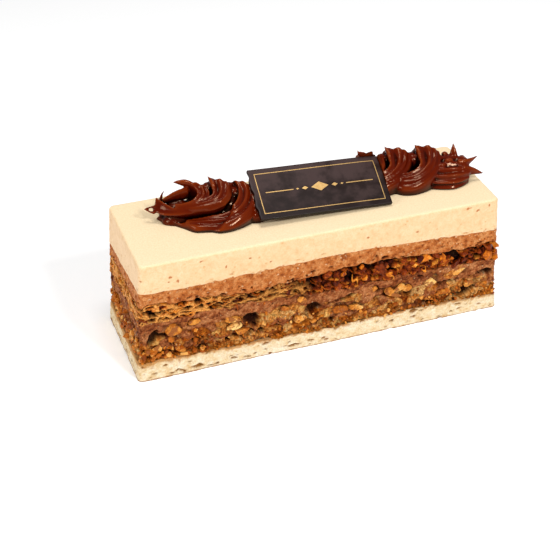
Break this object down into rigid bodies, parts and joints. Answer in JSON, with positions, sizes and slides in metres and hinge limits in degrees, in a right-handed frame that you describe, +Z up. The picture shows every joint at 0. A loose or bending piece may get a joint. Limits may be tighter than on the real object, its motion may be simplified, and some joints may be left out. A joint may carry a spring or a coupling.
{
  "type": "hazelnut praline cake",
  "caption": "Layered rectangular hazelnut praline cake bar with a sponge foot, nut cream, crisp and mousse layers, a piped ganache rope and a leaning chocolate plaque.",
  "frame": {"origin": "centre of the base, on the surface that the cake rests on", "axes": "+X along the length of the bar, +Y across it towards the back, -Y the front that the plaque faces, +Z up"},
  "size_m": [0.1916, 0.0606, 0.0838],
  "materials": {
    "sponge": "open ivory sponge crumb with a thin brown crust underneath",
    "nut_cream": "mauve brown nut cream with a moist sheen",
    "hazelnut": "chopped roasted nut, satin",
    "crisp": "caramelised wafer flakes, satin",
    "milk_mousse": "fine pored milk chocolate mousse, matt",
    "cream_mousse": "smooth pale yellow mousse, satin top and finely pored sides",
    "ganache": "glossy dark reddish brown ganache",
    "plaque": "dark chocolate with a soft grey sheen",
    "gold_print": "thin edible gold print"
  },
  "bodies": {
    "root": {"sponge_base": "sponge", "nut_praline_cream": "nut_cream", "crisp_layer": "crisp", "milk_chocolate_mousse": "milk_mousse", "cream_mousse": "cream_mousse", "piped_ganache": "ganache", "chocolate_plaque": "plaque"}
  },
  "joints": []
}
